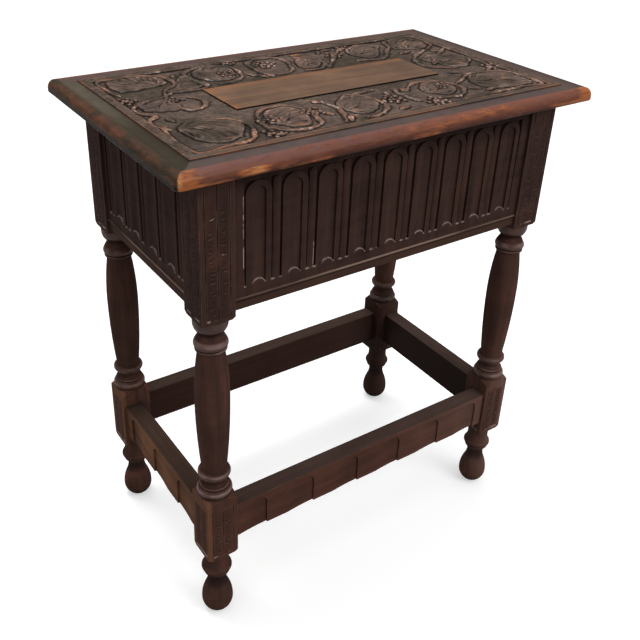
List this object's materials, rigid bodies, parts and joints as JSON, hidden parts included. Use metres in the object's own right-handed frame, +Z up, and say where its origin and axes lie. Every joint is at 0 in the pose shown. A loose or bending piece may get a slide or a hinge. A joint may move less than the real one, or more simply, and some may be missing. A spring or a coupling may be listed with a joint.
{
  "type": "coffin table",
  "caption": "Small oak box table with turned legs, a low stretcher frame, fluted sides and a hinged carved lid over a deep storage box.",
  "frame": {"origin": "on the floor, under the middle of the table", "axes": "+X to the right along the lid, +Y to the back where the hinges are, +Z up"},
  "size_m": [0.605, 0.366, 0.684],
  "materials": {
    "dark_oak": "dark stained and waxed oak, worn reddish on its edges",
    "panel_oak": "dark stained and waxed carved oak",
    "lid_oak": "dark stained oak, waxed, rubbed through to brown along its nose",
    "inner_wood": "plain unstained inner board",
    "hinge_brass": "dull aged brass",
    "screw_brass": "dull aged brass"
  },
  "bodies": {
    "table": {"leg_front_left": "dark_oak", "leg_front_right": "dark_oak", "leg_back_left": "dark_oak", "leg_back_right": "dark_oak", "front_stretcher": "dark_oak", "back_stretcher": "dark_oak", "left_stretcher": "dark_oak", "right_stretcher": "dark_oak", "front_panel": "panel_oak", "back_panel": "panel_oak", "left_panel": "panel_oak", "right_panel": "panel_oak", "front_rail": "panel_oak", "back_rail": "panel_oak", "left_rail": "panel_oak", "right_rail": "panel_oak", "bottom_board": "inner_wood", "left_hinge_box_leaf": "hinge_brass", "right_hinge_box_leaf": "hinge_brass", "left_hinge_pin": "hinge_brass", "right_hinge_pin": "hinge_brass", "box_leaf_screws": "screw_brass"},
    "lid": {"lid": "lid_oak", "left_hinge_lid_leaf": "hinge_brass", "right_hinge_lid_leaf": "hinge_brass", "lid_leaf_screws": "screw_brass"}
  },
  "joints": [
    {"name": "lid_hinge", "type": "hinge", "parent": "table", "child": "lid", "pos_m": [0, 0.159, 0.66585], "axis": [-1, 0, 0], "range_deg": [0, 98]}
  ]
}
